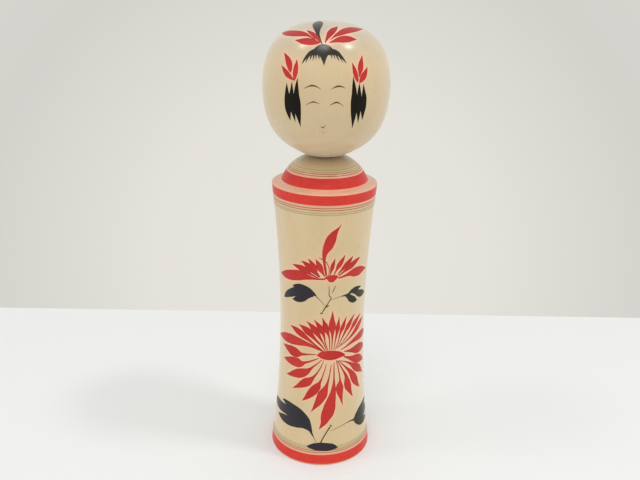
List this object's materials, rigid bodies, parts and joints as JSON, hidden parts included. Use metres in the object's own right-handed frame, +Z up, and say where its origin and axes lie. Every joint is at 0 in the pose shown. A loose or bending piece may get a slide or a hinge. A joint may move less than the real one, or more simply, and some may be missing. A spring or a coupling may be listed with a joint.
{
  "type": "kokeshi doll",
  "caption": "Turned wooden kokeshi doll: a waisted column body with a shoulder ledge and dome, and a round painted head whose peg is snapped into the body and turns.",
  "frame": {"origin": "centre of the flat base, on the surface the doll stands on", "axes": "+Z up along the turning axis, the face looks along -Y, +X to the right as seen from the front"},
  "size_m": [0.0654, 0.0654, 0.242],
  "materials": {
    "body_wood": "pale dogwood, turned and wax polished",
    "head_wood": "pale dogwood, turned and wax polished, aged slightly grey on the crown",
    "red_dye": "water-based red dye under wax",
    "black_ink": "ink under wax",
    "indigo_dye": "blue-black dye under wax",
    "green_dye": "faded green dye lines under wax"
  },
  "bodies": {
    "body": {"body": "body_wood"},
    "head": {"head": "head_wood"}
  },
  "joints": [
    {"name": "head_turn", "type": "hinge", "parent": "body", "child": "head", "pos_m": [0, 0, 0.1744], "axis": [0, 0, 1], "continuous": true}
  ]
}
